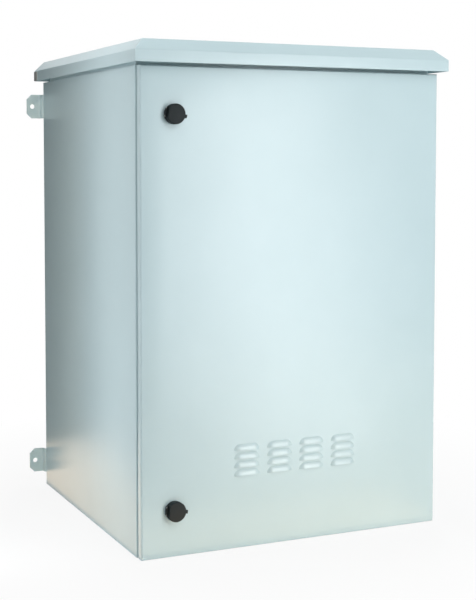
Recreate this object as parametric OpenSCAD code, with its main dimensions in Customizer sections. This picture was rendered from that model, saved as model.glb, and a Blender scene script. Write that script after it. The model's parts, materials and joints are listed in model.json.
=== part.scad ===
// Outdoor wall-mount server cabinet: a weatherproof sheet-steel case for 19-inch equipment,
// with a louvred door, a rain roof that stands clear of the body and four wall lugs.
// Millimetres. Z is up, the front faces -Y and the wall is the plane Y = 0.
// The origin is the middle of the wall-hole pattern.

/* [Size] */
// Rack units of 44.45 mm between the top and the base
rack_units = 18; // [12:1:24]
// Space beside the equipment, from the edge of a 19-inch panel to the outside of the body
side_space = 58.7; // [50:0.1:110]
// Depth from the wall to the face of the door
cabinet_d = 600; // [500:10:800]
// Height kept free above and below the rack units
end_space = 29.95; // [29.95:1:49.95]
// Distance from the wall to the back panel
wall_gap = 15; // [13:0.5:25]

/* [Sheet metal] */
// Thickness of the body, door and roof sheet
sheet = 1.5; // [1.2:0.1:1.8]
// Inside radius of the folds
bend_r = 1.5; // [1:0.1:2]
// Distance from the edge of the body to the sealing lip
seal_in = 25; // [24:0.5:28]

/* [Roof] */
// How far the roof stands out past each side
roof_side = 14.5; // [8:0.5:20]
// How far the roof stands out past the door
roof_front = 16; // [8:0.5:30]
// Height of the upright rim
roof_rim = 21; // [15:0.5:30]
// Run of the sloped border
roof_slope_w = 21; // [15:0.5:40]
// Rise of the sloped border
roof_slope_h = 20; // [12:0.5:30]
// Open gap between the body and the rim
roof_gap = 3.5; // [2:0.5:8]

/* [Door] */
// Depth of the folded door
door_depth = 18.5; // [17.5:0.5:22]
// Gap between the door and the body
door_gap = 6; // [4:0.5:8]
// Width of the folded-in edge behind the door
door_lip = 12; // [8:0.5:12]
// Distance from the left edge of the door to the locks
lock_in = 60.5; // [56:0.5:62]
// Distance from the ends of the body to the locks
lock_end = 84; // [80:1:120]
// Distance from the ends of the body to the outer hinges
hinge_end = 120; // [90:1:150]

/* [Louvres] */
// Rows of louvres
louvre_rows = 4; // [2:1:6]
// Columns of louvres
louvre_columns = 4; // [1:1:4]
// Length of a louvre
louvre_l = 50; // [30:1:55]
// Height of a louvre
louvre_h = 11.5; // [9:0.5:12]
// How far a louvre stands out
louvre_out = 4; // [3.5:0.5:6]
// Distance between columns
louvre_step_x = 65.5; // [62:0.5:66]
// Distance between rows
louvre_step_z = 15.3; // [14:0.1:18]
// Distance from the bottom of the body to the lowest row
louvre_end = 132.2; // [125:0.1:160]

/* [Locks] */
// Diameter of the dust cap
cap_d = 35.5; // [35:0.5:38]
// How far the dust cap stands out from the door
cap_out = 15; // [13:0.5:18]
// Tilt of the upper dust cap
upper_tilt = -12; // [-20:1:20]
// Tilt of the lower dust cap
lower_tilt = -5; // [-20:1:20]
// Diameter of the lock barrel
barrel_d = 16; // [14:0.5:17]

/* [Wall lugs] */
// Diameter of the wall holes
lug_hole_d = 10; // [8:0.5:12]
// Distance from the side of the body to the wall holes
lug_hole_out = 20; // [18:0.5:28]
// Height of a lug
lug_h = 50; // [46:1:70]
// Distance from the ends of the body to the wall holes
lug_end = 50; // [40:1:60]
// Thickness of the lugs
lug_t = 3; // [2.5:0.5:4]

/* [Rack] */
// Distance from the front of the body to the front rails
rail_front = 55; // [50:5:100]
// Distance from the back panel to the rear rails
rail_back = 75; // [65:5:120]
// Thickness of the rails and depth bars
rail_t = 2; // [1.5:0.25:2.5]
// Height of a depth bar
bar_h = 40; // [30:1:44]

/* [Clearances] */
// Seam between sheets that are welded together
seam = 0.25; // [0.2:0.05:0.3]
// Gap between pieces that rest lightly on each other
rest_gap = 0.3; // [0.25:0.05:0.4]
// Radial clearance of a running shaft or a thread
run_gap = 0.05; // [0.03:0.01:0.08]
// Radial clearance of a bolt hole
bolt_gap = 0.3; // [0.25:0.05:0.5]

/* [Hidden] */
$fn = 48;

// Colours
coat = "#DDE8E8";
zinc = "#B9BDBC";
plastic = "#2B2E2F";
nickel = "#C9C5BC";
rubber = "#1E1F20";
fabric = "#D8D6CF";

// Main planes
unit_h = 44.45;
panel_w = 482.6;
rack_half = rack_units * unit_h / 2;
half_h = rack_half + end_space;
half_w = panel_w / 2 + side_space;
back_y = -wall_gap;
door_y = -cabinet_d;
skin_y = door_y + sheet;
door_back_y = door_y + door_depth;
front_y = door_back_y + door_gap;
body_in = half_w - sheet;
bend_mid = bend_r + sheet / 2;
bend_steps = 5;

// Sealing lip and gasket
gasket_t = 8;
gasket_w = 12;
lip_y = skin_y + gasket_t + rest_gap;
seal_x = half_w - seal_in;
seal_z = half_h - seal_in;

// Pans at both ends of the body
pan_x = body_in - seam;
pan_back_y = back_y - sheet - seam;
pan_back_flange = 24;
stile_x = seal_x + bend_mid;

// Roof
roof_x = half_w + roof_side;
roof_y = door_y - roof_front;
roof_back_y = -1;
roof_z = half_h + roof_gap;
roof_top = roof_z + roof_rim + roof_slope_h;
roof_bend = bend_r + sheet;

// Collar on the top of the body, behind the rim of the roof
collar_h = 12;
collar_back = 45;

// Roof runners
runner_t = 2;
runner_x = 200;
runner_top = 40;
runner_foot = 24;
runner_h = roof_top - sheet - half_h;
runner_end = 60;
runner_bolt_end = 40;

// Hexagon fasteners: thread, across flats, head height, nut height
m4 = [4, 7, 2.8, 3.2];
m5 = [5, 8, 3.5, 4];
m6 = [6, 10, 4, 5];
m8 = [8, 13, 5.3, 6.5];
thread_out = 2;

// Filters and their trays
mat_t = 8;
tray_t = 1.2;
tray_lip = 10;
tray_flange = 16;
stud_l = 12;
vent_columns = 3;
vent_rows = 9;
vent_l = 60;
vent_w = 6;
vent_step_x = 75;
vent_step_y = 15;
vent_y = (front_y + back_y) / 2;
filter_edge = 7;
vent_mat_x = (vent_columns - 1) / 2 * vent_step_x + vent_l / 2 + filter_edge;
vent_mat_y = (vent_rows - 1) / 2 * vent_step_y + vent_w / 2 + filter_edge;

// Gland opening in the base
gland_x = 150;
gland_y = 60;
gland_edge = 20;
gland_from_back = 155;
gland_mid_y = back_y - gland_from_back;
gland_t = 2;
gland_gasket_t = 2;

// Wall lugs
lug_z = half_h - lug_end;
lug_hole_x = half_w + lug_hole_out;
lug_edge = 12;
lug_corner = 10;
lug_step_out = 3;
lug_leg = 48;
lug_bend = 3;
lug_bolt_in = 28;
lug_bolt_step = 14;

// Rack rails and depth bars
hole_in = 8.75;
hole_x = panel_w / 2 - hole_in;
rail_hole = 9.5;
unit_holes = [6.35, 22.225, 38.1];
rail_web = 2.8;
rail_face = 29.45;
rail_in = hole_x - rail_hole / 2 - rail_web;
rail_out = hole_x + rail_face;
rail_deep = 40;
rail_past = 12;
rail_bolt = 20;
rail_front_y = front_y + rail_front;
rail_back_y = back_y - rail_back;
bar_end = 45;
bar_front = 18;
bar_back = 17;
bar_z = half_h - bar_end;
bar_front_y = front_y + bar_front;
bar_back_y = back_y - bar_back;
bar_slot_end = 14;
bar_slot_gap = 40;
bar_mid_y = (bar_front_y + bar_back_y) / 2;

// Door hinges
door_short = 1;
door_half_h = half_h - door_short;
hinge_in = 8.5;
hinge_back = 9.5;
hinge_x = half_w - hinge_in;
hinge_y = door_y + hinge_back;
hinge_z = [-(half_h - hinge_end), 0, half_h - hinge_end];
knuckle_d = 11;
knuckle_h = 24;
pin_d = 6;
pin_head_d = 9;
pin_head_h = 2;
arm_t = 4;
foot_t = 3;
foot_in = 0.75;
lug_knuckle_h = 11.5;
lug_plate_t = 2;
lug_plate_h = 24;
lug_web = 6;
notch_gap = 1.2;
notch_z = knuckle_h / 2 + rest_gap + notch_gap;

// Door stiffeners
stiff_from_lock = 49.5;
stiff_x = half_w - lock_in - stiff_from_lock;
stiff_top = 20;
stiff_foot = 14;
stiff_clear = 3;
stiff_h = door_depth - sheet - stiff_clear;
stiff_end = 40;
stiff_over_tray = 20;

// Louvres
louvre_r = (louvre_h * louvre_h + louvre_out * louvre_out) / (2 * louvre_out);
louvre_t = 1.2;
louvre_mid_x = louvre_l / 2 - louvre_h;
louvre_low = -half_h + louvre_end;
louvre_mat_x = (louvre_columns - 1) / 2 * louvre_step_x + louvre_l / 2 + filter_edge;
louvre_mat_z = ((louvre_rows - 1) * louvre_step_z + louvre_h) / 2 + filter_edge;
louvre_mid_z = louvre_low + ((louvre_rows - 1) * louvre_step_z + louvre_h) / 2;

// Locks
lock_x = -half_w + lock_in;
lock_z = half_h - lock_end;
flange_d = 34;
flange_t = 5;
neck_d = 22;
neck_l = 17;
lock_nut_af = 27;
lock_nut_h = 6;
cam_t = 3;
cam_w = 16;
cam_tip_in = 15.5;
cam_l = lock_in - cam_tip_in;
cam_behind = 1;
cam_at = front_y + sheet + cam_behind - door_y;
barrel_tail = 8;
barrel_sunk = 0.3;
key_w = 2.2;
key_l = 9;
key_deep = 8;
cam_screw_d = 12;
cam_screw_l = 9;

// Dust caps, in the plane of the cap: u to the tab, w across, d out from the door
cap_low = flange_t + rest_gap;
cap_wall = 2;
cap_edge = 2;
cap_flat_u = -13.4;
cap_axis_u = -15.9;
cap_pin_d = 2;
cap_knuckle_d = 4.4;
cap_knuckle_w = 10.4;
ear_in = cap_knuckle_w / 2 + rest_gap;
ear_t = 2.4;
tab_w = 6;
tab_out = 3.5;
tab_t = 4;

// Folded sheet: the outline of a strip that follows a path, with its bends rounded
function unit(v) = v / norm(v);
function left_of(v) = [-v.y, v.x];
function turned(v, a) = [v.x * cos(a) - v.y * sin(a), v.x * sin(a) + v.y * cos(a)];
function turn(a, b) = atan2(a.x * b.y - a.y * b.x, a.x * b.x + a.y * b.y);
function arc(centre, from, a, r) = [for (k = [0:bend_steps]) centre + turned(from, a * k / bend_steps) * r];
function strip_bend(p, before, after, mid, off) =
    let (a = turn(before, after), s = sign(a), start = p - before * mid * tan(abs(a) / 2))
    arc(start + left_of(before) * mid * s, -left_of(before) * s, a, mid - s * off);
function strip_side(path, mid, off) = [
    for (i = [0:len(path) - 1])
        let (
            last = len(path) - 1,
            before = unit(i > 0 ? path[i] - path[i - 1] : path[1] - path[0]),
            after = unit(i < last ? path[i + 1] - path[i] : path[last] - path[last - 1])
        )
        each i == 0 || i == last
            ? [path[i] + left_of(before) * off]
            : strip_bend(path[i], before, after, mid, off)
];
function backwards(list) = [for (i = [len(list) - 1:-1:0]) list[i]];
function folded(path, t, r) = concat(
    strip_side(path, r + t / 2, t / 2),
    backwards(strip_side(path, r + t / 2, -t / 2))
);

// A closed convex outline, listed anticlockwise, with its corners rounded
function rounded(points, radii) = [
    for (i = [0:len(points) - 1])
        let (
            n = len(points),
            before = unit(points[i] - points[(i + n - 1) % n]),
            after = unit(points[(i + 1) % n] - points[i])
        )
        each radii[i] == 0 ? [points[i]] : strip_bend(points[i], before, after, radii[i], 0)
];

// A slot with round ends, lying along x
function slot(l, w) = rounded(
    [[-l / 2, -w / 2], [l / 2, -w / 2], [l / 2, w / 2], [-l / 2, w / 2]],
    [for (i = [1:4]) w / 2 - 0.01]
);

module along_x(x0, x1) translate([x0, 0, 0]) rotate([90, 0, 90]) linear_extrude(x1 - x0) children();
module along_y(y0, y1) translate([0, y1, 0]) rotate([90, 0, 0]) linear_extrude(y1 - y0) children();
module along_z(z0, z1) translate([0, 0, z0]) linear_extrude(z1 - z0) children();
module block(x, y, z) translate([x[0], y[0], z[0]]) cube([x[1] - x[0], y[1] - y[0], z[1] - z[0]]);
module both_x() { children(); mirror([1, 0, 0]) children(); }
module both_y() { children(); mirror([0, 1, 0]) children(); }
module both_z() { children(); mirror([0, 0, 1]) children(); }

// A hexagon bolt: its head lies below z = 0 and its shank goes up
module bolt(m, grip) {
    translate([0, 0, -m[2]]) cylinder(d = m[1] / cos(30), h = m[2], $fn = 6);
    cylinder(d = m[0], h = grip + m[3] + thread_out);
}
module nut(m) difference() {
    cylinder(d = m[1] / cos(30), h = m[3], $fn = 6);
    translate([0, 0, -1]) cylinder(d = m[0] + 2 * run_gap, h = m[3] + 2);
}
module bolt_hole(m) translate([0, 0, -10]) cylinder(d = m[0] + 2 * bolt_gap, h = 20);

// Body
wrap_half = [
    [seal_x, lip_y],
    [seal_x, front_y + sheet / 2],
    [half_w - sheet / 2, front_y + sheet / 2],
    [half_w - sheet / 2, back_y - sheet / 2]
];
wrap_path = concat([for (p = wrap_half) [-p.x, p.y]], backwards(wrap_half));
module at_lug_bolts() both_x() both_z() for (s = [-1, 1])
    translate([half_w - lug_bolt_in, 0, lug_z + s * lug_bolt_step]) children();
module body_wrap() color(coat) difference() {
    along_z(-half_h, half_h) polygon(folded(wrap_path, sheet, bend_r));
    both_x() both_z() block(
        [seal_x - sheet, stile_x], [lip_y - 1, front_y + sheet + 1], [seal_z + sheet / 2, half_h + 1]
    );
    at_lug_bolts() translate([0, back_y, 0]) rotate([90, 0, 0]) bolt_hole(m8);
}

pan_path = [
    [lip_y, seal_z],
    [front_y + sheet / 2, seal_z],
    [front_y + sheet / 2, half_h - sheet / 2],
    [pan_back_y - sheet / 2, half_h - sheet / 2],
    [pan_back_y - sheet / 2, half_h - pan_back_flange]
];
pan_notch_y = [lip_y - 1, front_y + sheet + bend_r];
module end_pan() difference() {
    along_x(-pan_x, pan_x) polygon(folded(pan_path, sheet, bend_r));
    both_x() block([stile_x - seam, half_w], pan_notch_y, [seal_z - sheet, half_h + 1]);
    both_x() block([seal_x - sheet / 2 - seam, half_w], pan_notch_y, [seal_z - sheet, seal_z + bend_mid]);
    both_x() block(
        [body_in - bend_r - seam, half_w],
        [pan_back_y - bend_r - seam, 0],
        [half_h - pan_back_flange - 1, half_h + 1]
    );
}

// A stud on the underside of the plane z = 0, with its weld half-way into the sheet
module weld_stud(m) translate([0, 0, -stud_l]) cylinder(d = m[0], h = stud_l + sheet / 2);

// A row of studs round a tray or plate, at the middle of its flange
module at_studs(x, y) both_x() both_y() {
    translate([x, y / 2, 0]) children();
    translate([x / 2, y, 0]) children();
}

roof_bolt_end = runner_end + runner_bolt_end;
module at_roof_bolts() both_x() for (s = [-1, 1]) for (y = [front_y + roof_bolt_end, back_y - roof_bolt_end])
    translate([runner_x + s * (runner_top + runner_foot) / 2, y, 0]) children();

// Copies in a row, set about the middle
function row(n, step) = [for (i = [0:n - 1]) (i - (n - 1) / 2) * step];

module top_pan() color(coat) {
    difference() {
        end_pan();
        for (x = row(vent_columns, vent_step_x)) for (y = row(vent_rows, vent_step_y))
            translate([x, vent_y + y, half_h - sheet - 1])
            linear_extrude(sheet + 2) polygon(slot(vent_l, vent_w));
        at_roof_bolts() translate([0, 0, half_h]) bolt_hole(m6);
    }
    translate([0, vent_y, half_h - sheet])
        at_studs(vent_mat_x + tray_flange / 2, vent_mat_y + tray_flange / 2) weld_stud(m4);
}

module base_pan() color(coat) {
    difference() {
        mirror([0, 0, 1]) end_pan();
        block(
            [-gland_x, gland_x],
            [gland_mid_y - gland_y, gland_mid_y + gland_y],
            [-half_h - 1, -half_h + sheet + 1]
        );
    }
    translate([0, gland_mid_y, -half_h + sheet])
        at_studs(gland_x + gland_edge / 2, gland_y + gland_edge / 2) mirror([0, 0, 1]) weld_stud(m5);
}

// Roof
function roof_across(in, low) = rounded(
    [
        [-roof_x + in, roof_z - low],
        [roof_x - in, roof_z - low],
        [roof_x - in, roof_z + roof_rim - in * tan(roof_fold / 2)],
        [roof_x - roof_slope_w - in * tan((90 - roof_fold) / 2), roof_top - in],
        [-roof_x + roof_slope_w + in * tan((90 - roof_fold) / 2), roof_top - in],
        [-roof_x + in, roof_z + roof_rim - in * tan(roof_fold / 2)]
    ],
    [0, 0, roof_bend - in, roof_bend - in, roof_bend - in, roof_bend - in]
);
roof_fold = atan2(roof_slope_w, roof_slope_h);
function roof_along(in, low) = rounded(
    [
        [roof_y + in, roof_z - low],
        [roof_back_y - in, roof_z - low],
        [roof_back_y - in, roof_top - in],
        [roof_y + roof_slope_w + in * tan((90 - roof_fold) / 2), roof_top - in],
        [roof_y + in, roof_z + roof_rim - in * tan(roof_fold / 2)]
    ],
    [0, 0, roof_bend - in, roof_bend - in, roof_bend - in]
);
module roof_block(in, low) intersection() {
    along_y(roof_y - 1, 0) polygon(roof_across(in, low));
    along_x(-roof_x - 1, roof_x + 1) polygon(roof_along(in, low));
}
module roof() color(coat) difference() {
    roof_block(0, 0);
    roof_block(sheet, 2 * sheet);
}

collar_x = pan_x - seam - sheet / 2;
collar_y = front_y + bend_r + sheet + seam + sheet / 2;
collar_path = [
    [-collar_x, back_y - collar_back],
    [-collar_x, collar_y],
    [collar_x, collar_y],
    [collar_x, back_y - collar_back]
];
module roof_collar() color(coat)
    along_z(half_h, half_h + collar_h) polygon(folded(collar_path, sheet, bend_r));

// A hat-shaped strip that stands on y = 0: top width, foot width, height and thickness
function hat(top, foot, h, t) = folded(
    [
        [-top / 2 - foot, t / 2], [-top / 2 + t / 2, t / 2], [-top / 2 + t / 2, h - t / 2],
        [top / 2 - t / 2, h - t / 2], [top / 2 - t / 2, t / 2], [top / 2 + foot, t / 2]
    ],
    t, bend_r
);
module roof_runners() color(coat) difference() {
    both_x() translate([runner_x, 0, half_h])
        along_y(front_y + runner_end, back_y - runner_end)
        polygon(hat(runner_top, runner_foot, runner_h, runner_t));
    at_roof_bolts() translate([0, 0, half_h]) bolt_hole(m6);
}
module roof_bolts() color(zinc) at_roof_bolts()
    translate([0, 0, half_h - sheet]) bolt(m6, sheet + runner_t);
module roof_nuts() color(zinc) at_roof_bolts() translate([0, 0, half_h + runner_t]) nut(m6);

// A filter tray: its rim holds the mat and its flange takes the studs. Its mouth is the plane z = 0
module tray(x, y) difference() {
    union() {
        block([-x - tray_flange, x + tray_flange], [-y - tray_flange, y + tray_flange], [-tray_t, 0]);
        block(
            [-x - rest_gap - tray_t, x + rest_gap + tray_t], [-y - rest_gap - tray_t, y + rest_gap + tray_t],
            [-mat_t - tray_t, 0]
        );
    }
    block([-x - rest_gap, x + rest_gap], [-y - rest_gap, y + rest_gap], [-mat_t, 1]);
    block([-x + tray_lip, x - tray_lip], [-y + tray_lip, y - tray_lip], [-mat_t - tray_t - 1, 1]);
    at_studs(x + tray_flange / 2, y + tray_flange / 2) bolt_hole(m4);
}
module tray_nuts(x, y) at_studs(x + tray_flange / 2, y + tray_flange / 2)
    translate([0, 0, -tray_t - m4[3]]) nut(m4);
module mat(x, y) block([-x, x], [-y, y], [-mat_t, 0]);

module at_vent() translate([0, vent_y, half_h - sheet]) children();
module vent_mat() color(fabric) at_vent() mat(vent_mat_x, vent_mat_y);
module vent_tray() color(zinc) at_vent() tray(vent_mat_x, vent_mat_y);
module vent_nuts() color(zinc) at_vent() tray_nuts(vent_mat_x, vent_mat_y);

// Gland plate, with its gasket on the inside of the base
module at_gland(z) translate([0, gland_mid_y, -half_h + sheet + z]) children();
module gland_sheet(t) difference() {
    block(
        [-gland_x - gland_edge, gland_x + gland_edge],
        [-gland_y - gland_edge, gland_y + gland_edge],
        [0, t]
    );
    at_studs(gland_x + gland_edge / 2, gland_y + gland_edge / 2) bolt_hole(m5);
}
module gland_gasket() color(rubber) at_gland(0) difference() {
    gland_sheet(gland_gasket_t);
    block([-gland_x, gland_x], [-gland_y, gland_y], [-1, gland_gasket_t + 1]);
}
module gland_plate() color(zinc) at_gland(gland_gasket_t) gland_sheet(gland_t);
module gland_nuts() color(zinc) at_gland(gland_gasket_t + gland_t)
    at_studs(gland_x + gland_edge / 2, gland_y + gland_edge / 2) nut(m5);

// Wall lugs
lug_x = lug_hole_x + lug_edge;
lug_step_x = half_w + lug_step_out - lug_t / 2;
lug_path = [
    [half_w - lug_leg, back_y + lug_t / 2],
    [lug_step_x, back_y + lug_t / 2],
    [lug_step_x, -lug_t / 2],
    [lug_x, -lug_t / 2]
];
module lug(sx, sz) color(coat) mirror([sx < 0 ? 1 : 0, 0, 0]) mirror([0, 0, sz < 0 ? 1 : 0]) difference() {
    intersection() {
        along_z(lug_z - lug_h / 2, lug_z + lug_h / 2) polygon(folded(lug_path, lug_t, lug_bend));
        translate([0, 0, lug_z]) along_y(back_y - 1, 1) polygon([
            [0, -lug_h / 2], [lug_x - lug_corner, -lug_h / 2], [lug_x, -lug_h / 2 + lug_corner],
            [lug_x, lug_h / 2 - lug_corner], [lug_x - lug_corner, lug_h / 2], [0, lug_h / 2]
        ]);
    }
    translate([lug_hole_x, 1, lug_z]) rotate([90, 0, 0]) cylinder(d = lug_hole_d, h = lug_t + 2);
    for (s = [-1, 1]) translate([half_w - lug_bolt_in, back_y, lug_z + s * lug_bolt_step])
        rotate([90, 0, 0]) bolt_hole(m8);
}
module upper_left_lug() lug(-1, 1);
module upper_right_lug() lug(1, 1);
module lower_left_lug() lug(-1, -1);
module lower_right_lug() lug(1, -1);
module lug_bolts() color(zinc) at_lug_bolts()
    translate([0, back_y + lug_t, 0]) rotate([90, 0, 0]) bolt(m8, lug_t + sheet);
module lug_nuts() color(zinc) at_lug_bolts() translate([0, back_y - sheet, 0]) rotate([90, 0, 0]) nut(m8);

// Depth bars, open to the sides of the body
bar_path = [
    [pan_x, bar_z + (bar_h - rail_t) / 2],
    [rail_out + rail_t / 2, bar_z + (bar_h - rail_t) / 2],
    [rail_out + rail_t / 2, bar_z - (bar_h - rail_t) / 2],
    [pan_x, bar_z - (bar_h - rail_t) / 2]
];
module bar_slot(y0, y1) translate([0, (y0 + y1) / 2, bar_z])
    along_x(rail_out - 1, rail_out + rail_t + 1) polygon(slot(y1 - y0, m6[0] + 2 * bolt_gap));
module bar(sx, sz) color(zinc) mirror([sx < 0 ? 1 : 0, 0, 0]) mirror([0, 0, sz < 0 ? 1 : 0]) difference() {
    along_y(bar_front_y, bar_back_y) polygon(folded(bar_path, rail_t, bend_r));
    bar_slot(bar_front_y + bar_slot_end, bar_mid_y - bar_slot_gap / 2);
    bar_slot(bar_mid_y + bar_slot_gap / 2, bar_back_y - bar_slot_end);
}
module upper_left_bar() bar(-1, 1);
module upper_right_bar() bar(1, 1);
module lower_left_bar() bar(-1, -1);
module lower_right_bar() bar(1, -1);

// Rack rails: the face takes the equipment and the leg is screwed to the depth bars
rail_path = [
    [rail_in, rail_t / 2],
    [rail_out - rail_t / 2, rail_t / 2],
    [rail_out - rail_t / 2, rail_deep]
];
module rail(sx) mirror([sx < 0 ? 1 : 0, 0, 0]) difference() {
    along_z(-rack_half - rail_past, rack_half + rail_past) polygon(folded(rail_path, rail_t, bend_r));
    for (u = [0:rack_units - 1]) for (h = unit_holes)
        translate([hole_x, rail_t / 2, -rack_half + u * unit_h + h])
        cube([rail_hole, 3 * rail_t, rail_hole], center = true);
    both_z() translate([rail_out, rail_bolt, bar_z]) rotate([0, 90, 0]) bolt_hole(m6);
}
module front_left_rail() color(zinc) translate([0, rail_front_y, 0]) rail(-1);
module front_right_rail() color(zinc) translate([0, rail_front_y, 0]) rail(1);
module rear_left_rail() color(zinc) translate([0, rail_back_y, 0]) mirror([0, 1, 0]) rail(-1);
module rear_right_rail() color(zinc) translate([0, rail_back_y, 0]) mirror([0, 1, 0]) rail(1);
module at_rail_screws() both_x() both_z() for (y = [rail_front_y + rail_bolt, rail_back_y - rail_bolt])
    translate([rail_out - rail_t, y, bar_z]) rotate([0, 90, 0]) children();
module rail_screws() color(zinc) at_rail_screws() bolt(m6, 2 * rail_t);
module rail_nuts() color(zinc) at_rail_screws() translate([0, 0, 2 * rail_t]) nut(m6);

// Hinges: arms on the body, lugs on the door and pins through both
module at_hinges() for (z = hinge_z) translate([hinge_x, hinge_y, z]) children();
module hinge_arms() color(zinc) at_hinges() difference() {
    union() {
        cylinder(d = knuckle_d, h = knuckle_h, center = true);
        block([-arm_t / 2, arm_t / 2], [0, front_y - hinge_y], [-knuckle_h / 2, knuckle_h / 2]);
        block(
            [stile_x + foot_in - hinge_x, arm_t / 2], [front_y - foot_t - hinge_y, front_y - hinge_y],
            [-knuckle_h / 2, knuckle_h / 2]
        );
    }
    cylinder(d = pin_d + 2 * run_gap, h = knuckle_h + 2, center = true);
}
lug_plate_x = body_in - hinge_x;
lug_low = knuckle_h / 2 + rest_gap;
module hinge_lugs() color(zinc) at_hinges() both_z() difference() {
    union() {
        translate([0, 0, lug_low]) cylinder(d = knuckle_d, h = lug_knuckle_h);
        block([0, lug_plate_x], [-lug_web / 2, lug_web / 2], [lug_low, lug_low + lug_knuckle_h]);
        block(
            [lug_plate_x - lug_plate_t, lug_plate_x],
            [skin_y + bend_r - hinge_y, door_back_y - sheet - bend_r - hinge_y],
            [notch_z, notch_z + lug_plate_h]
        );
    }
    cylinder(d = pin_d + 2 * run_gap, h = 2 * pin_half + 2, center = true);
}
pin_half = lug_low + lug_knuckle_h;
module hinge_pins() color(zinc) at_hinges() {
    translate([0, 0, -pin_half - pin_head_h]) cylinder(d = pin_d, h = 2 * pin_half + pin_head_h);
    translate([0, 0, pin_half]) cylinder(d = pin_head_d, h = pin_head_h);
}

// Door
function tray_outline(x, in, y0, y1) = rounded(
    [[-x + in, y0 + in], [x - in, y0 + in], [x - in, y1 - in], [-x + in, y1 - in]],
    [for (i = [1:4]) bend_r + sheet - in]
);
module door_block(in) intersection() {
    along_z(-door_half_h + in, door_half_h - in) polygon(tray_outline(half_w, in, door_y, door_back_y));
    along_x(-half_w + in, half_w - in)
        polygon([for (p = tray_outline(door_half_h, in, door_y, door_back_y)) [p.y, p.x]]);
}
module at_louvres() for (x = row(louvre_columns, louvre_step_x)) for (j = [0:louvre_rows - 1])
    translate([x, door_y, louvre_low + j * louvre_step_z]) children();

// One louvre, or the hollow in it: a pressed hood, open below, with domed ends
module louvre(in, deep) intersection() {
    translate([0, louvre_r - louvre_out, 0]) {
        rotate([0, 90, 0]) cylinder(r = louvre_r - in, h = 2 * louvre_mid_x, center = true, $fn = 96);
        both_x() translate([louvre_mid_x, 0, 0]) sphere(r = louvre_r - in, $fn = 96);
    }
    block([-louvre_l, louvre_l], [-louvre_r, deep], [0, louvre_r]);
}
module at_louvre_tray() translate([0, skin_y, louvre_mid_z]) rotate([90, 0, 0]) children();
module at_locks() both_z() translate([lock_x, door_y, lock_z]) children();

module door_skin() color(coat) {
    difference() {
        union() {
            difference() {
                door_block(0);
                door_block(sheet);
                block(
                    [-body_in + door_lip, body_in - door_lip], [door_back_y - sheet - 1, door_back_y + 1],
                    [-door_half_h + sheet + door_lip, door_half_h - sheet - door_lip]
                );
            }
            at_louvres() louvre(0, sheet / 2);
        }
        at_louvres() louvre(louvre_t, sheet + 1);
        at_locks() rotate([90, 0, 0]) translate([0, 0, -10]) cylinder(d = neck_d + 2 * bolt_gap, h = 20);
        at_hinges() block(
            [body_in - door_lip - 1 - hinge_x, half_w + 1 - hinge_x],
            [skin_y - hinge_y, door_back_y + 1 - hinge_y],
            [-notch_z, notch_z]
        );
    }
    at_louvre_tray() at_studs(louvre_mat_x + tray_flange / 2, louvre_mat_z + tray_flange / 2) weld_stud(m4);
}
module door_gasket() color(rubber) along_y(skin_y, skin_y + gasket_t) difference() {
    square([2 * seal_x + gasket_w, 2 * seal_z + gasket_w], center = true);
    square([2 * seal_x - gasket_w, 2 * seal_z - gasket_w], center = true);
}
stiff_low = louvre_mid_z + louvre_mat_z + tray_flange + stiff_over_tray;
module stiffener(x) color(coat) translate([x, skin_y, 0])
    along_z(stiff_low, half_h - stiff_end) polygon(hat(stiff_top, stiff_foot, stiff_h, sheet));
module left_stiffener() stiffener(-stiff_x);
module right_stiffener() stiffener(stiff_x);
module louvre_mat() color(fabric) at_louvre_tray() mat(louvre_mat_x, louvre_mat_z);
module louvre_tray() color(zinc) at_louvre_tray() tray(louvre_mat_x, louvre_mat_z);
module louvre_nuts() color(zinc) at_louvre_tray() tray_nuts(louvre_mat_x, louvre_mat_z);

// Locks: x is to the right, y is up and z comes out of the door
module at_lock(side, tilt) translate([lock_x, door_y, side * lock_z])
    rotate([90, 0, 0]) rotate([0, 0, tilt]) children();
module across(w) rotate([90, 0, 0]) cylinder(d = w[0], h = w[1], center = true);
module lock_housing() difference() {
    union() {
        cylinder(d = flange_d, h = flange_t);
        translate([0, 0, -neck_l]) cylinder(d = neck_d, h = neck_l);
        intersection() {
            both_y() union() {
                block(
                    [cap_axis_u - cap_knuckle_d / 2, cap_axis_u + cap_knuckle_d / 2],
                    [ear_in, ear_in + ear_t],
                    [0, cap_low]
                );
                translate([cap_axis_u, ear_in + ear_t / 2, cap_low]) across([cap_knuckle_d, ear_t]);
            }
            cylinder(d = cap_d, h = cap_low + cap_knuckle_d);
        }
    }
    translate([0, 0, -neck_l - 1]) cylinder(d = barrel_d + 2 * run_gap, h = neck_l + flange_t + 2);
    block(
        [-flange_d, cap_flat_u], [-ear_in, ear_in], [cap_low - cap_knuckle_d / 2 - rest_gap, flange_t + 1]
    );
    translate([cap_axis_u, 0, cap_low]) across([cap_pin_d + 2 * run_gap, 4 * cap_knuckle_w]);
}
module lock_nut() translate([0, 0, -sheet - lock_nut_h]) difference() {
    cylinder(d = lock_nut_af / cos(30), h = lock_nut_h, $fn = 6);
    translate([0, 0, -1]) cylinder(d = neck_d + 2 * run_gap, h = lock_nut_h + 2);
}
module cap_pin() translate([cap_axis_u, 0, cap_low]) across([cap_pin_d, 2 * (ear_in + ear_t)]);
module lock_barrel() difference() {
    union() {
        translate([0, 0, -cam_at]) cylinder(d = barrel_d, h = cam_at + flange_t - barrel_sunk);
        translate([0, 0, -cam_at - cam_t / 2]) cube([barrel_tail, barrel_tail, cam_t], center = true);
    }
    block([-key_w / 2, key_w / 2], [-key_l / 2, key_l / 2], [flange_t - key_deep, flange_t + 1]);
    translate([0, 0, -cam_at - cam_t - 1]) cylinder(d = m5[0] + 2 * run_gap, h = cam_screw_l + 2);
}
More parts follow.
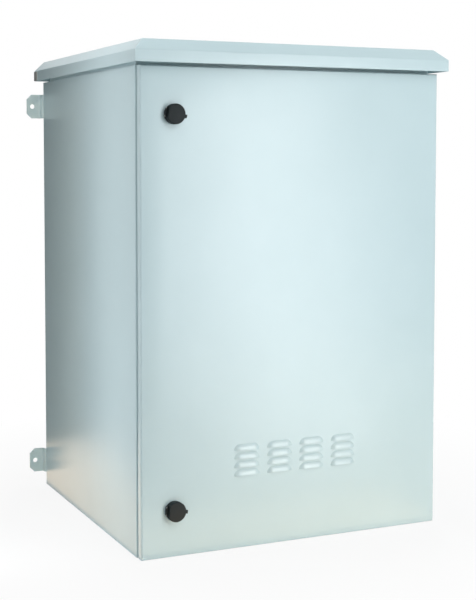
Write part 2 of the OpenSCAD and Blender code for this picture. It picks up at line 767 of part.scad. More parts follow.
module lock_cam() translate([0, 0, -cam_at - cam_t / 2]) difference() {
    translate([0, -cam_l / 2 + cam_w / 4, 0]) rotate([0, 0, 90])
        linear_extrude(cam_t, center = true) polygon(slot(cam_l + cam_w / 2, cam_w));
    cube([barrel_tail + 2 * run_gap, barrel_tail + 2 * run_gap, cam_t + 2], center = true);
}
module cam_screw() translate([0, 0, -cam_at - cam_t]) {
    translate([0, 0, -m5[2]]) cylinder(d = cam_screw_d, h = m5[2]);
    cylinder(d = m5[0], h = cam_screw_l);
}
module dust_cap() difference() {
    union() {
        intersection() {
            rotate_extrude() polygon(concat(
                [[0, cap_low], [cap_d / 2, cap_low]],
                arc([cap_d / 2 - cap_edge, cap_out - cap_edge], [1, 0], 90, cap_edge),
                [[0, cap_out]]
            ));
            block([cap_flat_u, cap_d], [-cap_d, cap_d], [0, cap_out + 1]);
        }
        block(
            [cap_d / 2 - cap_wall, cap_d / 2 + tab_out],
            [-tab_w / 2, tab_w / 2],
            [cap_out - cap_edge - tab_t, cap_out - cap_edge]
        );
        translate([cap_axis_u, 0, cap_low]) across([cap_knuckle_d, cap_knuckle_w]);
        block(
            [cap_axis_u, cap_flat_u + cap_wall],
            [-cap_knuckle_w / 2, cap_knuckle_w / 2],
            [cap_low, cap_low + cap_knuckle_d / 2]
        );
    }
    intersection() {
        translate([0, 0, cap_low - 1])
            cylinder(r = cap_d / 2 - cap_wall, h = cap_out - cap_wall - cap_low + 1);
        block([cap_flat_u + cap_wall, cap_d], [-cap_d, cap_d], [0, cap_out]);
    }
    translate([cap_axis_u, 0, cap_low]) across([cap_pin_d + 2 * run_gap, 2 * cap_knuckle_w]);
}
module upper_lock_housing() color(plastic) at_lock(1, upper_tilt) lock_housing();
module lower_lock_housing() color(plastic) at_lock(-1, lower_tilt) lock_housing();
module upper_lock_nut() color(zinc) at_lock(1, 0) lock_nut();
module lower_lock_nut() color(zinc) at_lock(-1, 0) lock_nut();
module upper_cap_pin() color(zinc) at_lock(1, upper_tilt) cap_pin();
module lower_cap_pin() color(zinc) at_lock(-1, lower_tilt) cap_pin();
module upper_lock_barrel() color(nickel) at_lock(1, 0) lock_barrel();
module lower_lock_barrel() color(nickel) at_lock(-1, 0) lock_barrel();
module upper_lock_cam() color(zinc) at_lock(1, 0) lock_cam();
module lower_lock_cam() color(zinc) at_lock(-1, 0) lock_cam();
module upper_cam_screw() color(zinc) at_lock(1, 0) cam_screw();
module lower_cam_screw() color(zinc) at_lock(-1, 0) cam_screw();
module upper_dust_cap() color(plastic) at_lock(1, upper_tilt) dust_cap();
module lower_dust_cap() color(plastic) at_lock(-1, lower_tilt) dust_cap();

body_wrap();
top_pan();
base_pan();
roof();
roof_collar();
roof_runners();
roof_bolts();
roof_nuts();
vent_mat();
vent_tray();
vent_nuts();
gland_plate();
gland_gasket();
gland_nuts();
upper_left_lug();
upper_right_lug();
lower_left_lug();
lower_right_lug();
lug_bolts();
lug_nuts();
upper_left_bar();
upper_right_bar();
lower_left_bar();
lower_right_bar();
front_left_rail();
front_right_rail();
rear_left_rail();
rear_right_rail();
rail_screws();
rail_nuts();
hinge_arms();
door_skin();
door_gasket();
left_stiffener();
right_stiffener();
louvre_mat();
louvre_tray();
louvre_nuts();
hinge_lugs();
hinge_pins();
upper_lock_housing();
upper_lock_nut();
upper_cap_pin();
lower_lock_housing();
lower_lock_nut();
lower_cap_pin();
upper_lock_barrel();
upper_lock_cam();
upper_cam_screw();
lower_lock_barrel();
lower_lock_cam();
lower_cam_screw();
upper_dust_cap();
lower_dust_cap();
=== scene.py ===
# %% [markdown]
# # Dressing an outdoor wall-mount server cabinet
#
# The cabinet is a folded-steel case that hangs on a wall and keeps 19-inch equipment dry. Its
# shape is already measured and modelled in metres, with every sheet, rail, hinge and lock as a
# piece of its own. What is left to do here is the look of it: paint, plating, plastic and foam,
# the rounded edges that paint gives to sheet metal, and a plain studio to see it in.

import json
import math

import bmesh
import bpy
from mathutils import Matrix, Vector, noise

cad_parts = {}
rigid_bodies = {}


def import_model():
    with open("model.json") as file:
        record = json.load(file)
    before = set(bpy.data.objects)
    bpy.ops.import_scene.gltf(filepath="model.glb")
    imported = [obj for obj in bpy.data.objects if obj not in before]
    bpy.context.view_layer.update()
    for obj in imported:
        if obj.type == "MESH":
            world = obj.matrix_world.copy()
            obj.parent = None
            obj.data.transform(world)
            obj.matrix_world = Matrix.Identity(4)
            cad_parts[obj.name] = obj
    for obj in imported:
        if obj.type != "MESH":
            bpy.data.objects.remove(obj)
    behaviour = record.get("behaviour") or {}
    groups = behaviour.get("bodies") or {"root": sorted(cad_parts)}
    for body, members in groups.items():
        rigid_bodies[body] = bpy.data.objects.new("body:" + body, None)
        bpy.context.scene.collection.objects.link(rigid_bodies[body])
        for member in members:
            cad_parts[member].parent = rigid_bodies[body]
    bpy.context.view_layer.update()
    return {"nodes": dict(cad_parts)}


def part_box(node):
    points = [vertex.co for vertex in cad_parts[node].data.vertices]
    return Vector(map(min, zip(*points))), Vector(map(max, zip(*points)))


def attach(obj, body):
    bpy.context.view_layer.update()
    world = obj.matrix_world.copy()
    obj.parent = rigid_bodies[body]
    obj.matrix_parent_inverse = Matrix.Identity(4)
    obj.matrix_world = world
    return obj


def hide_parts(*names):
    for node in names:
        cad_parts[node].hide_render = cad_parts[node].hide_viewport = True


for spare in [o for o in bpy.data.objects if o.name in ("Cube", "Light", "Camera")]:
    bpy.data.objects.remove(spare)

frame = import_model()
cabinet = frame["nodes"]

# %% [markdown]
# ## Colours and shader nodes
#
# A paint colour is easiest to talk about as the sRGB hex value that a colour picker shows, but a
# shader works in linear light. One function turns the first into the second.
#
# A material is a small network of nodes. Writing every node out takes four or five lines each, so
# one helper makes a node, sets its options, and fills or links its inputs.

# %% Two small helpers
def linear(hex_colour):
    channels = [int(hex_colour[i : i + 2], 16) / 255 for i in (1, 3, 5)]
    return [c / 12.92 if c <= 0.04045 else ((c + 0.055) / 1.055) ** 2.4 for c in channels] + [1.0]


def add(tree, kind, inputs, **options):
    made = tree.nodes.new(kind)
    for option, value in options.items():
        setattr(made, option, value)
    for socket, value in inputs.items():
        if isinstance(value, bpy.types.NodeSocket):
            tree.links.new(value, made.inputs[socket])
        else:
            made.inputs[socket].default_value = value
    return made


def new_material(name):
    material = bpy.data.materials.new(name)
    material.use_nodes = True
    return material, material.node_tree, material.node_tree.nodes["Principled BSDF"]


mm = 0.001
print("mid grey #808080 in linear light:", [round(c, 3) for c in linear("#808080")])

# %% [markdown]
# ## The camera
#
# The photograph was matched with a pinhole camera: where it stood, which way it pointed, and how
# long its lens was. The picture is cut off-centre, so the lens also needs a small shift. A shift
# moves the frame without turning the camera, which keeps the upright edges of the cabinet as they
# are.

# %% Set up the camera
photo_w, photo_h = 476, 600
focal_px = 1261.23
centre_px = (222.59, 230.87)
lens = bpy.data.cameras.new("photo_lens")
lens.sensor_width = 36
lens.lens = focal_px * lens.sensor_width / photo_h
lens.shift_x = (photo_w / 2 - centre_px[0]) / photo_h
lens.shift_y = (centre_px[1] - photo_h / 2) / photo_h
lens.clip_end = 200
camera = bpy.data.objects.new("photo_camera", lens)
camera.location = (-1.05735, -2.62159, 0.26853)
camera.rotation_euler = (math.radians(90 - 3.2556), 0, math.radians(-24.266))
bpy.context.scene.collection.objects.link(camera)
bpy.context.scene.camera = camera
print("lens", round(lens.lens, 2), "mm, shift", round(lens.shift_x, 4), round(lens.shift_y, 4))

# %% [markdown]
# ## Powder-coated steel
#
# The case, door, roof and lugs are steel sheet, sprayed with dry polyester powder that melts into
# an even film in the oven. The film flows a little before it sets, which leaves a faint orange
# peel, so a reflection in it is soft and slightly broken. To the eye that gives a pale grey with
# a cold cast, a wide highlight, and a tone that drifts by a few per cent over a hand's width.
#
# Real orange peel is about 1.5 mm from crest to crest, which is less than one pixel of the
# picture. It is drawn at 7 mm here so that it shows at all.

# %% Powder coat
powder_coat, tree, paint = new_material("powder_coat_on_steel")
place = add(tree, "ShaderNodeTexCoord", {}).outputs["Object"]
drift = add(tree, "ShaderNodeTexNoise", {"Vector": place, "Scale": 1 / (110 * mm), "Detail": 3.0})
tone = add(
    tree,
    "ShaderNodeMix",
    {0: drift.outputs["Fac"], 6: linear("#BFD6DB"), 7: linear("#C7DDE2")},
    data_type="RGBA",
)
gloss_drift = add(
    tree,
    "ShaderNodeTexNoise",
    {"Vector": place, "Scale": 1 / (45 * mm), "Detail": 2.0},
)
gloss = add(
    tree,
    "ShaderNodeMapRange",
    {"Value": gloss_drift.outputs["Fac"], "To Min": 0.285, "To Max": 0.335},
)
peel = add(tree, "ShaderNodeTexNoise", {"Vector": place, "Scale": 1 / (7 * mm), "Detail": 1.0})
skin = add(
    tree,
    "ShaderNodeBump",
    {"Height": peel.outputs["Fac"], "Strength": 0.1, "Distance": 0.25 * mm},
)
tree.links.new(tone.outputs[2], paint.inputs["Base Color"])
tree.links.new(gloss.outputs["Result"], paint.inputs["Roughness"])
tree.links.new(skin.outputs["Normal"], paint.inputs["Normal"])
print("made", powder_coat.name)

# %% [markdown]
# ## Zinc-plated steel
#
# Rails, bars, trays, hinges, nuts and bolts are plated with a few thousandths of a millimetre of
# zinc and passivated. The eye sees a soft grey metal with a faint blue and straw drift and fine
# lines from the rolling of the sheet. The lines are about 0.3 mm apart on the real sheet and are
# drawn 1.2 mm apart.

# %% Zinc plate
zinc_plate, tree, plating = new_material("zinc_plated_rolled_steel")
place = add(tree, "ShaderNodeTexCoord", {}).outputs["Object"]
bloom = add(tree, "ShaderNodeTexNoise", {"Vector": place, "Scale": 1 / (30 * mm), "Detail": 4.0})
tint = add(
    tree,
    "ShaderNodeMix",
    {0: bloom.outputs["Fac"], 6: linear("#AEB6BA"), 7: linear("#C6C5BC")},
    data_type="RGBA",
)
along = add(
    tree,
    "ShaderNodeMapping",
    {"Vector": place, "Scale": (1 / (1.2 * mm), 1 / (1.2 * mm), 1 / (60 * mm))},
)
lines = add(
    tree,
    "ShaderNodeTexNoise",
    {"Vector": along.outputs["Vector"], "Scale": 1.0, "Detail": 2.0},
)
dull = add(
    tree,
    "ShaderNodeMapRange",
    {
        "Value": lines.outputs["Fac"],
        "From Min": 0.25,
        "From Max": 0.75,
        "To Min": 0.3,
        "To Max": 0.46,
    },
)
scored = add(
    tree,
    "ShaderNodeBump",
    {"Height": lines.outputs["Fac"], "Strength": 0.15, "Distance": 0.05 * mm},
)
plating.inputs["Metallic"].default_value = 1.0
tree.links.new(tint.outputs[2], plating.inputs["Base Color"])
tree.links.new(dull.outputs["Result"], plating.inputs["Roughness"])
tree.links.new(scored.outputs["Normal"], plating.inputs["Normal"])
print("made", zinc_plate.name)

# %% [markdown]
# ## Moulded black polyamide
#
# The lock housings and their dust caps are injection moulded. The steel mould was spark eroded,
# which leaves a fine, even grain of about 0.3 mm on the plastic and makes it a dull near-black
# with a soft grey sheen towards the light. The grain is drawn at 0.9 mm.

# %% Black polyamide
polyamide, tree, plastic = new_material("moulded_black_polyamide")
place = add(tree, "ShaderNodeTexCoord", {}).outputs["Object"]
grain = add(tree, "ShaderNodeTexNoise", {"Vector": place, "Scale": 1 / (0.9 * mm), "Detail": 3.0})
handled = add(tree, "ShaderNodeTexNoise", {"Vector": place, "Scale": 1 / (9 * mm), "Detail": 2.0})
shade = add(
    tree,
    "ShaderNodeMix",
    {0: handled.outputs["Fac"], 6: linear("#0A1417"), 7: linear("#111B1E")},
    data_type="RGBA",
)
matt = add(
    tree,
    "ShaderNodeMapRange",
    {
        "Value": grain.outputs["Fac"],
        "From Min": 0.3,
        "From Max": 0.7,
        "To Min": 0.52,
        "To Max": 0.62,
    },
)
eroded = add(
    tree,
    "ShaderNodeBump",
    {"Height": grain.outputs["Fac"], "Strength": 0.25, "Distance": 0.1 * mm},
)
plastic.inputs["IOR"].default_value = 1.53
plastic.inputs["Specular IOR Level"].default_value = 0.24
tree.links.new(shade.outputs[2], plastic.inputs["Base Color"])
tree.links.new(matt.outputs["Result"], plastic.inputs["Roughness"])
tree.links.new(eroded.outputs["Normal"], plastic.inputs["Normal"])
print("made", polyamide.name)

# %% [markdown]
# ## Satin nickel on brass
#
# The lock barrels are turned brass with a thin coat of nickel. Turning leaves rings round the
# axis, so the metal looks bright but streaked. The rings are drawn 0.5 mm apart.

# %% Nickel plate
nickel_plate, tree, nickel = new_material("nickel_plated_turned_brass")
place = add(tree, "ShaderNodeTexCoord", {}).outputs["Object"]
around = add(
    tree,
    "ShaderNodeMapping",
    {"Vector": place, "Scale": (1 / (6 * mm), 1 / (0.5 * mm), 1 / (6 * mm))},
)
rings = add(
    tree,
    "ShaderNodeTexNoise",
    {"Vector": around.outputs["Vector"], "Scale": 1.0, "Detail": 1.0},
)
silver = add(
    tree,
    "ShaderNodeMix",
    {0: rings.outputs["Fac"], 6: linear("#C4BEB2"), 7: linear("#D2CFC8")},
    data_type="RGBA",
)
satin = add(
    tree,
    "ShaderNodeMapRange",
    {
        "Value": rings.outputs["Fac"],
        "From Min": 0.3,
        "From Max": 0.7,
        "To Min": 0.18,
        "To Max": 0.3,
    },
)
nickel.inputs["Metallic"].default_value = 1.0
tree.links.new(silver.outputs[2], nickel.inputs["Base Color"])
tree.links.new(satin.outputs["Result"], nickel.inputs["Roughness"])
print("made", nickel_plate.name)

# %% [markdown]
# ## Foamed gasket
#
# The door seal is a bead of polyurethane foam, poured on the door as a liquid and left to rise.
# It has a thin skin with shallow pits where bubbles burst, about 0.6 mm across, drawn at 1.2 mm.
# The sheet gasket under the gland plate takes the same finish.

# %% Foam rubber
foam, tree, rubber = new_material("poured_polyurethane_foam")
place = add(tree, "ShaderNodeTexCoord", {}).outputs["Object"]
pits = add(tree, "ShaderNodeTexVoronoi", {"Vector": place, "Scale": 1 / (1.2 * mm)})
patch = add(tree, "ShaderNodeTexNoise", {"Vector": place, "Scale": 1 / (12 * mm), "Detail": 3.0})
black = add(
    tree,
    "ShaderNodeMix",
    {0: patch.outputs["Fac"], 6: linear("#191A1B"), 7: linear("#282A2B")},
    data_type="RGBA",
)
pitted = add(
    tree,
    "ShaderNodeBump",
    {"Height": pits.outputs["Distance"], "Strength": 0.4, "Distance": 0.25 * mm},
)
rubber.inputs["Roughness"].default_value = 0.78
tree.links.new(black.outputs[2], rubber.inputs["Base Color"])
tree.links.new(pitted.outputs["Normal"], rubber.inputs["Normal"])
print("made", foam.name)

# %% [markdown]
# ## Filter fleece
#
# Behind the louvres and under the roof lies a mat of needled polyester fibres. Fibres of 0.05 mm
# can't be seen one by one, so two stretched noises stand for tufts of them, about 1 mm across.

# %% Fleece
fleece, tree, fibre = new_material("needled_polyester_fleece")
place = add(tree, "ShaderNodeTexCoord", {}).outputs["Object"]
combed = add(
    tree,
    "ShaderNodeMapping",
    {"Vector": place, "Scale": (1 / (6 * mm), 1 / (1 * mm), 1 / (1 * mm))},
)
tufts = add(
    tree,
    "ShaderNodeTexNoise",
    {"Vector": combed.outputs["Vector"], "Scale": 1.0, "Detail": 5.0},
)
dirt = add(tree, "ShaderNodeTexNoise", {"Vector": place, "Scale": 1 / (25 * mm), "Detail": 3.0})
wool = add(
    tree,
    "ShaderNodeMix",
    {0: dirt.outputs["Fac"], 6: linear("#CFCCC3"), 7: linear("#E2E0DA")},
    data_type="RGBA",
)
fuzzy = add(
    tree,
    "ShaderNodeBump",
    {"Height": tufts.outputs["Fac"], "Strength": 0.7, "Distance": 0.6 * mm},
)
fibre.inputs["Roughness"].default_value = 0.95
fibre.inputs["Sheen Weight"].default_value = 0.25
tree.links.new(wool.outputs[2], fibre.inputs["Base Color"])
tree.links.new(fuzzy.outputs["Normal"], fibre.inputs["Normal"])
print("made", fleece.name)

# %% [markdown]
# ## Giving each piece its finish
#
# The parts list already says which finish each piece has, so the materials are handed out from
# that list instead of by hand.

# %% Hand out the finishes
finishes = {
    "powder_coat": powder_coat,
    "zinc_plated_steel": zinc_plate,
    "black_plastic": polyamide,
    "nickel_plated_brass": nickel_plate,
    "gasket_rubber": foam,
    "filter_fabric": fleece,
}
finish_of = {name: piece.material_slots[0].material.name for name, piece in cabinet.items()}
for name, piece in cabinet.items():
    piece.material_slots[0].material = finishes[finish_of[name]]
print({finish: sum(1 for f in finish_of.values() if f == finish) for finish in finishes})

# %% [markdown]
# ## Edges that catch the light
#
# No real edge is perfectly sharp: sheared steel has a burr radius, paint pulls back round it, and
# moulds have rounded corners. A bevel of a few tenths of a millimetre gives each edge the thin
# light line that makes metal look like metal.
#
# The measured meshes are triangles with every face cut apart. Three modifiers tidy them without
# touching the meshes themselves: a small node group joins the corners and lets shallow folds shade
# as one curve, a planar decimate takes out the triangles inside flat faces, and a bevel rounds
# what is still sharp.

# %% Join and smooth
fold_angle = math.radians(28)
tidy = bpy.data.node_groups.new("join_and_smooth", "GeometryNodeTree")
tidy.interface.new_socket("Geometry", in_out="INPUT", socket_type="NodeSocketGeometry")
tidy.interface.new_socket("Geometry", in_out="OUTPUT", socket_type="NodeSocketGeometry")
loose = add(tidy, "NodeGroupInput", {}).outputs[0]
joined = add(tidy, "GeometryNodeMergeByDistance", {"Geometry": loose, "Distance": 0.02 * mm})
bend = add(tidy, "GeometryNodeInputMeshEdgeAngle", {}).outputs["Unsigned Angle"]
crease = add(
    tidy,
    "FunctionNodeCompare",
    {0: bend, 1: fold_angle},
    data_type="FLOAT",
    operation="GREATER_THAN",
)
smooth = add(
    tidy,
    "GeometryNodeSetMeshNormal",
    {
        "Mesh": joined.outputs["Geometry"],
        "Remove Custom": True,
        "Edge Sharpness": crease.outputs["Result"],
        "Face Sharpness": False,
    },
    mode="SHARPNESS",
)
add(tidy, "NodeGroupOutput", {0: smooth.outputs["Mesh"]})

edge_radius = {
    "powder_coat": 0.45 * mm,
    "zinc_plated_steel": 0.3 * mm,
    "black_plastic": 0.5 * mm,
    "nickel_plated_brass": 0.25 * mm,
}
for name, piece in cabinet.items():
    if finish_of[name] not in edge_radius:
        continue
    piece.modifiers.new("join_and_smooth", "NODES").node_group = tidy
    flat = piece.modifiers.new("flat_faces", "DECIMATE")
    flat.decimate_type = "DISSOLVE"
    flat.angle_limit = math.radians(0.3)
    edge = piece.modifiers.new("soft_edges", "BEVEL")
    edge.width = edge_radius[finish_of[name]]
    edge.segments = 2
    edge.limit_method = "ANGLE"
    edge.angle_limit = fold_angle
    edge.use_clamp_overlap = True
    edge.harden_normals = True
bpy.context.view_layer.update()
depsgraph = bpy.context.evaluated_depsgraph_get()
rounded_faces = sum(len(p.evaluated_get(depsgraph).data.polygons) for p in cabinet.values())
print("faces after rounding:", rounded_faces)

# %% [markdown]
# ## The door seal
#
# The seal is not cut from a strip. A nozzle lays liquid foam round the back of the door in one
# closed loop, and it rises into a bead with a flat foot, a rounded crown and soft corners. A swept
# section makes that shape: a loop of points round the door, and at each point the same rounded
# outline, a little higher or lower where the foam rose unevenly.

# %% Pour the seal
def new_piece(name, vertices, faces, body, finish):
    mesh = bpy.data.meshes.new(name)
    mesh.from_pydata(vertices, [], faces)
    mesh.materials.append(finishes[finish])
    mesh.shade_smooth()
    piece = bpy.data.objects.new(name, mesh)
    bpy.context.scene.collection.objects.link(piece)
    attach(piece, body)
    return piece


def rounded_loop(half_x, half_z, radius, step):
    corner_parts = 8
    corners = [
        (half_x, half_z, 0),
        (-half_x, half_z, 90),
        (-half_x, -half_z, 180),
        (half_x, -half_z, 270),
    ]
    loop = []
    for x, z, turn in corners:
        centre = Vector((x - math.copysign(radius, x), z - math.copysign(radius, z)))
        for k in range(corner_parts + 1):
            a = math.radians(turn + 90 * k / corner_parts)
            out = Vector((math.cos(a), math.sin(a)))
            loop.append((centre + radius * out, out))
    filled = []
    for (here, out), (after, _) in zip(loop, loop[1:] + loop[:1]):
        parts = max(1, round((after - here).length / step))
        filled += [(here.lerp(after, k / parts), out) for k in range(parts)]
    return filled


low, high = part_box("door_gasket")
bead_w, bead_h, corner_r = 12 * mm, high[1] - low[1], 16 * mm
unevenness, wave = 0.05, 25 * mm
flat_foot, round_crown = 0.55, 0.7
half_x, half_z = (high[0] - low[0] - bead_w) / 2, (high[2] - low[2] - bead_w) / 2
section_parts = 12
section = [math.pi * k / section_parts for k in range(section_parts + 1)]
vertices, faces = [], []
loop = rounded_loop(half_x, half_z, corner_r, 20 * mm)
for spot, out in loop:
    swell = 1 - unevenness * (noise.noise((spot.x / wave, spot.y / wave, 0.5)) + 0.6)
    for a in section:
        across = math.copysign(abs(math.cos(a)) ** flat_foot, math.cos(a)) * bead_w / 2
        rise = abs(math.sin(a)) ** round_crown * bead_h * swell
        at = spot + out * across
        vertices.append((at.x, low[1] + rise, at.y))
n = len(section)
for i in range(len(loop)):
    j = (i + 1) % len(loop)
    for k in range(n):
        m = (k + 1) % n
        faces.append((i * n + k, j * n + k, j * n + m, i * n + m))
door_seal = new_piece("door_seal", vertices, faces, "door", "gasket_rubber")
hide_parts("door_gasket")
print("seal:", len(vertices), "points round", round(4 * (half_x + half_z), 2), "m")

# %% [markdown]
# ## Filter mats
#
# A filter mat is a cut piece of fleece: its faces swell a little between the edges where the tray
# holds it, and its cut edges are round and uneven. Two sheets of points, front and back, are
# pulled together towards the edges and joined there.

# %% Cut the mats
held_at_edge, held_inside = (0.35, 0.78, 0.92), 0.96
fluffiness, tufts_per_metre = 0.04, 90


def fleece_mat(name, node, thin, body):
    low, high = (Vector(c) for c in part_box(node))
    wide, tall = [axis for axis in range(3) if axis != thin]
    step = 4 * mm
    columns = round((high[wide] - low[wide]) / step)
    rows = round((high[tall] - low[tall]) / step)
    middle, thickness = (low[thin] + high[thin]) / 2, high[thin] - low[thin]
    vertices, faces = [], []
    for side in (-1, 1):
        for r in range(rows + 1):
            for c in range(columns + 1):
                point = Vector((0, 0, 0))
                point[wide] = low[wide] + (high[wide] - low[wide]) * c / columns
                point[tall] = low[tall] + (high[tall] - low[tall]) * r / rows
                edge = min(c, columns - c, r, rows - r)
                held = held_at_edge[edge] if edge < len(held_at_edge) else held_inside
                tuft = (point[wide] * tufts_per_metre, point[tall] * tufts_per_metre, side * 3.7)
                fluff = fluffiness * noise.noise(tuft)
                point[thin] = middle + side * thickness / 2 * (held + fluff)
                vertices.append(point)
    sheet = (rows + 1) * (columns + 1)
    for r in range(rows):
        for c in range(columns):
            a = r * (columns + 1) + c
            quad = (a, a + 1, a + columns + 2, a + columns + 1)
            faces.append(quad)
            faces.append(tuple(reversed([sheet + v for v in quad])))
    rim = list(range(columns))
    rim += [r * (columns + 1) + columns for r in range(rows)]
    rim += [rows * (columns + 1) + c for c in range(columns, 0, -1)]
    rim += [r * (columns + 1) for r in range(rows, 0, -1)]
    for a, b in zip(rim, rim[1:] + rim[:1]):
        faces.append((a, sheet + a, sheet + b, b))
    mat = new_piece(name, vertices, faces, body, "filter_fabric")
    tidy_mesh = bmesh.new()
    tidy_mesh.from_mesh(mat.data)
    bmesh.ops.recalc_face_normals(tidy_mesh, faces=tidy_mesh.faces)
    tidy_mesh.to_mesh(mat.data)
    tidy_mesh.free()
    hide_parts(node)
    print(name, len(mat.data.polygons), "faces")


fleece_mat("louvre_fleece", "louvre_mat", 1, "door")
fleece_mat("vent_fleece", "vent_mat", 2, "cabinet")

# %% [markdown]
# ## The gland gasket
#
# Between the gland plate and the base lies a die-cut sheet of the same foam, 2 mm thick. A cut
# sheet that is squeezed between two plates bulges at its edges, so a copy of the measured sheet
# gets its edges rounded over almost the full thickness.

# %% Cut the gland gasket
gland_seal = bpy.data.objects.new("gland_seal", cabinet["gland_gasket"].data.copy())
bpy.context.scene.collection.objects.link(gland_seal)
gland_seal.modifiers.new("join_and_smooth", "NODES").node_group = tidy
squeezed = gland_seal.modifiers.new("squeezed_edges", "BEVEL")
squeezed.width = 0.7 * mm
squeezed.segments = 3
squeezed.limit_method = "ANGLE"
squeezed.angle_limit = fold_angle
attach(gland_seal, "cabinet")
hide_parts("gland_gasket")
print("gland seal:", len(gland_seal.data.polygons), "faces before rounding")

# %% [markdown]
# ## The strip round the back of the roof
#
# The open back of the roof is stiffened by a strip of plated steel, riveted to the rim and folded
# a finger's width round both corners. It is bare metal, so its ends show as a narrow darker band
# at the back of the painted rim. A folded strip is a path on the plan, given a thickness.

# %% Fold the strip
roof_low, roof_high = (Vector(c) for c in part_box("roof"))
strip_t, strip_return, strip_h = 0.8 * mm, 22 * mm, 19 * mm
plan = [
    (roof_low.x, roof_high.y - strip_return),
    (roof_low.x, roof_high.y),
    (roof_high.x, roof_high.y),
    (roof_high.x, roof_high.y - strip_return),
]
outside = [
    (roof_low.x - strip_t, roof_high.y - strip_return),
    (roof_low.x - strip_t, roof_high.y + strip_t),
    (roof_high.x + strip_t, roof_high.y + strip_t),
    (roof_high.x + strip_t, roof_high.y - strip_return),
]
strip_low = roof_low.z + 0.6 * mm
vertices = [(x, y, strip_low + z) for z in (0, strip_h) for x, y in plan + outside]
faces = []
for k in range(3):
    faces += [(k, k + 1, k + 9, k + 8), (k + 4, k + 12, k + 13, k + 5)]
    faces += [(k, k + 4, k + 5, k + 1), (k + 8, k + 9, k + 13, k + 12)]
faces += [(0, 8, 12, 4), (3, 7, 15, 11)]
roof_strip = new_piece("roof_back_strip", vertices, faces, "cabinet", "zinc_plated_steel")
folded = roof_strip.modifiers.new("folded_edges", "BEVEL")
folded.width = 0.3 * mm
folded.segments = 2
folded.harden_normals = True
print("strip:", [round(v / mm, 1) for v in (strip_return, strip_h, strip_t)], "mm")

# %% [markdown]
# ## The studio
#
# The cabinet stands on a plain pale floor in front of white. To the camera, and to anything that
# mirrors it, the surroundings are white. To soft light they are dimmer, so that the lamps decide
# how the cabinet is lit. Near the cabinet, the floor also shows a part of the light that falls on
# it, and so keeps a faint shadow.

# %% White surroundings
def white_to(tree, ray):
    seen = ray.outputs["Is Camera Ray"]
    for other in ("Is Glossy Ray", "Is Transmission Ray"):
        either = add(tree, "ShaderNodeMath", {0: seen, 1: ray.outputs[other]}, operation="MAXIMUM")
        seen = either.outputs[0]
    return seen


world = bpy.data.worlds.new("white_studio")
world.use_nodes = True
bpy.context.scene.world = world
tree = world.node_tree
tree.nodes.clear()
ray = add(tree, "ShaderNodeLightPath", {})
seen = white_to(tree, ray)
dim = add(tree, "ShaderNodeBackground", {"Color": linear("#F2F8FA"), "Strength": 0.13})
white = add(tree, "ShaderNodeBackground", {"Color": linear("#FFFFFF"), "Strength": 1.0})
both = add(tree, "ShaderNodeMixShader", {0: seen, 1: dim.outputs[0], 2: white.outputs[0]})
add(tree, "ShaderNodeOutputWorld", {"Surface": both.outputs[0]})

floor_z = -0.430
floor_mesh = bpy.data.meshes.new("studio_floor")
half_floor = 40
floor_plan = [(-1, -1), (1, -1), (1, 1), (-1, 1)]
floor_corners = [(x * half_floor, y * half_floor, floor_z) for x, y in floor_plan]
floor_mesh.from_pydata(floor_corners, [], [(0, 1, 2, 3)])
floor = bpy.data.objects.new("studio_floor", floor_mesh)
bpy.context.scene.collection.objects.link(floor)
floor_paint, tree, pale = new_material("pale_matt_floor")
tree.nodes.remove(pale)
ray = add(tree, "ShaderNodeLightPath", {})
seen = white_to(tree, ray)
spot = add(tree, "ShaderNodeTexCoord", {}).outputs["Object"]
reach = add(tree, "ShaderNodeVectorMath", {0: spot, 1: (0.0, -0.3, floor_z)}, operation="DISTANCE")
far = add(
    tree,
    "ShaderNodeMapRange",
    {
        "Value": reach.outputs["Value"],
        "From Min": 0.45,
        "From Max": 0.95,
        "To Min": 0.88,
        "To Max": 1.0,
    },
)
glow_part = add(tree, "ShaderNodeMath", {0: seen, 1: far.outputs["Result"]}, operation="MULTIPLY")
matt = add(tree, "ShaderNodeBsdfDiffuse", {"Color": linear("#F1F2F2")})
glow = add(tree, "ShaderNodeEmission", {"Color": linear("#FFFFFF"), "Strength": 1.0})
floor_mix = add(
    tree,
    "ShaderNodeMixShader",
    {0: glow_part.outputs[0], 1: matt.outputs[0], 2: glow.outputs[0]},
)
tree.links.new(floor_mix.outputs[0], tree.nodes["Material Output"].inputs["Surface"])
floor_mesh.materials.append(floor_paint)
print("floor at", floor_z)

# %% [markdown]
# ## The lamps
#
# A painted sheet shows two things: the light that falls on it, and a blurred image of what it
# mirrors. The tall box to the front right stands where the door mirrors the room, and its image is
# the wide bright band down the door. A narrower card in front of it, which only reflections see,
# makes the middle of that band brighter. A large box above the front lights the door, the louvres
# and the front border of the roof. It is left out of reflections, because its image would wash out
# the roof in a view from behind.
#
# A narrow box on the left lights the side panel from close by, so that it fades towards the wall.
# One lamp hangs over the roof and one lights the back.
#
# A pale floor throws warm light back, and two lamps stand for that. The low one in front is kept
# clear of the swing of the door and has a narrow beam, so that only the lower part of the door
# warms up. The upright one beside the side panel reaches the wall lugs. Three cards lie on the
# floor, and only reflections see them. One carries the bright band further down the door. Two show
# as warm floor at the foot of the door and of the side panel. A pale card on the left shows in the
# folded edges as a thin light line.
#
# A card that lies flat has no clear up direction, so its aim is tipped by less than a millimetre
# in a metre towards the way that its long side should run.

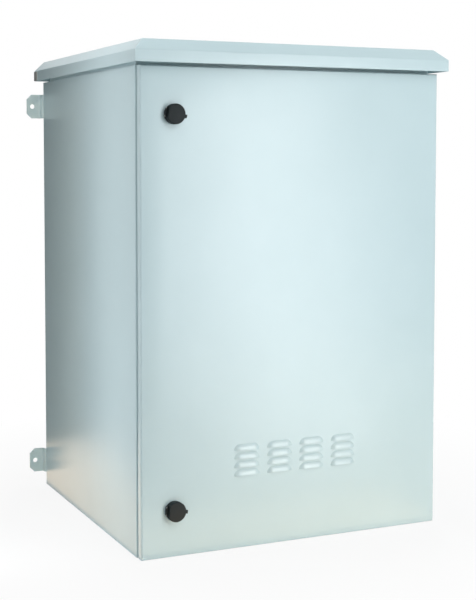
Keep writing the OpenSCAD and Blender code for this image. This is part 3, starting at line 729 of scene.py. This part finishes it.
# %% Soft boxes
def soft_box(name, at, look_at, size, watts, colour="#FFFFFF", mirrored=True, lights=True, beam=180):
    lamp = bpy.data.lights.new(name, "AREA")
    lamp.shape = "RECTANGLE"
    lamp.size, lamp.size_y = size
    lamp.energy = watts
    lamp.spread = math.radians(beam)
    lamp.color = linear(colour)[:3]
    holder = bpy.data.objects.new(name, lamp)
    holder.location = at
    holder.rotation_euler = (Vector(look_at) - Vector(at)).to_track_quat("-Z", "Y").to_euler()
    holder.visible_camera = False
    holder.visible_glossy = mirrored
    holder.visible_diffuse = lights
    bpy.context.scene.collection.objects.link(holder)


low_z = floor_z + 0.1
soft_box("band_box", (0.86, -2.45, 0.16), (0.0, -0.6, 0.16), (0.6, 1.18), 13.8)
soft_box("band_card", (0.84, -2.44, 0.16), (0.0, -0.6, 0.16), (0.46, 1.18), 6.4, lights=False)
soft_box("front_top_box", (0.4, -2.6, 1.75), (0.1, -0.6, 0.1), (3.2, 2.3), 34.5, mirrored=False)
soft_box("side_box", (-0.62, -0.5, 0.3), (-0.3, -0.43, 0.3), (0.1, 1.44), 1.68, mirrored=False)
soft_box("ceiling_box", (-0.15, -0.1, 2.3), (-0.15, -0.2, 0.45), (0.8, 0.8), 17, mirrored=False)
soft_box("back_box", (1.3, 1.7, 0.9), (0.1, -0.2, 0.0), (1.2, 1.6), 30, mirrored=False)
floor_tint = "#FFD7A4"
bounce = {"colour": floor_tint, "mirrored": False}
soft_box(
    "door_bounce",
    (0.15, -1.7, low_z),
    (0.1, -0.6, low_z - 0.15),
    (1.0, 0.2),
    0.42,
    beam=55,
    **bounce,
)
soft_box(
    "lug_bounce", (-0.4, -0.45, 0.02), (-0.37, 0.0, 0.02), (0.06, 0.8), 0.16, beam=60, **bounce
)
flat_z = floor_z + 1 * mm
soft_box("band_floor_card", (0.6, -1.75, flat_z), (0.6005, -1.751, 1.0), (0.4, 1.2), 6.5, lights=False)
foot = {"colour": floor_tint, "lights": False}
soft_box("side_floor_card", (-0.43, -0.13, flat_z), (-0.43, -0.1295, 1.0), (0.25, 0.95), 0.95, **foot)
soft_box("door_floor_card", (0.0, -0.72, flat_z), (0.0, -0.7205, 1.0), (0.64, 0.2), 0.8, **foot)
soft_box("edge_card", (-1.7, -1.6, 0.62), (-0.3, -0.6, 0.3), (1.8, 1.1), 6, lights=False)

# %% [markdown]
# ## Three dark flags
#
# The side panel is seen at a flat angle and mirrors what is behind the cabinet. A photographer puts
# a black cloth there, so that the back of the panel goes dark instead of white. A second cloth in
# front stands where the left edge of the door mirrors the room, and lets the bright band fade out
# towards that edge. A third lies on the floor and does the same for the lower part of the edge.
# Only reflections see the flags.

# %% Hang the flags
cloth, tree, black_cloth = new_material("black_flag_cloth")
black_cloth.inputs["Base Color"].default_value = linear("#1A1B1C")
black_cloth.inputs["Roughness"].default_value = 0.9


def hang_flag(name, corners):
    mesh = bpy.data.meshes.new(name)
    mesh.from_pydata(corners, [], [(0, 1, 2, 3)])
    mesh.materials.append(cloth)
    flag = bpy.data.objects.new(name, mesh)
    bpy.context.scene.collection.objects.link(flag)
    flag.visible_camera = False
    flag.visible_diffuse = False
    flag.visible_shadow = False
    print(name, "from", corners[0], "to", corners[2])


def upright(left, right, y, top):
    return [(left, y, floor_z), (right, y, floor_z), (right, y, top), (left, y, top)]


on_floor = floor_z + 1 * mm
hang_flag("studio_flag_behind", upright(-0.56, 0.1, 0.35, 0.56))
hang_flag("studio_flag_in_front", upright(-0.4, 0.47, -2.5, 1.2))
hang_flag(
    "studio_cloth_on_floor",
    [(-0.45, -1.15, on_floor), (0.12, -1.15, on_floor), (0.47, -2.5, on_floor), (-0.4, -2.5, on_floor)],
)

# %% [markdown]
# ## Rendering colours as they are
#
# The Standard view writes a colour to the picture without a film curve, so a grey that is mixed
# as a certain hex value comes out near that value under plain light.

# %% View transform
bpy.context.scene.view_settings.view_transform = "Standard"
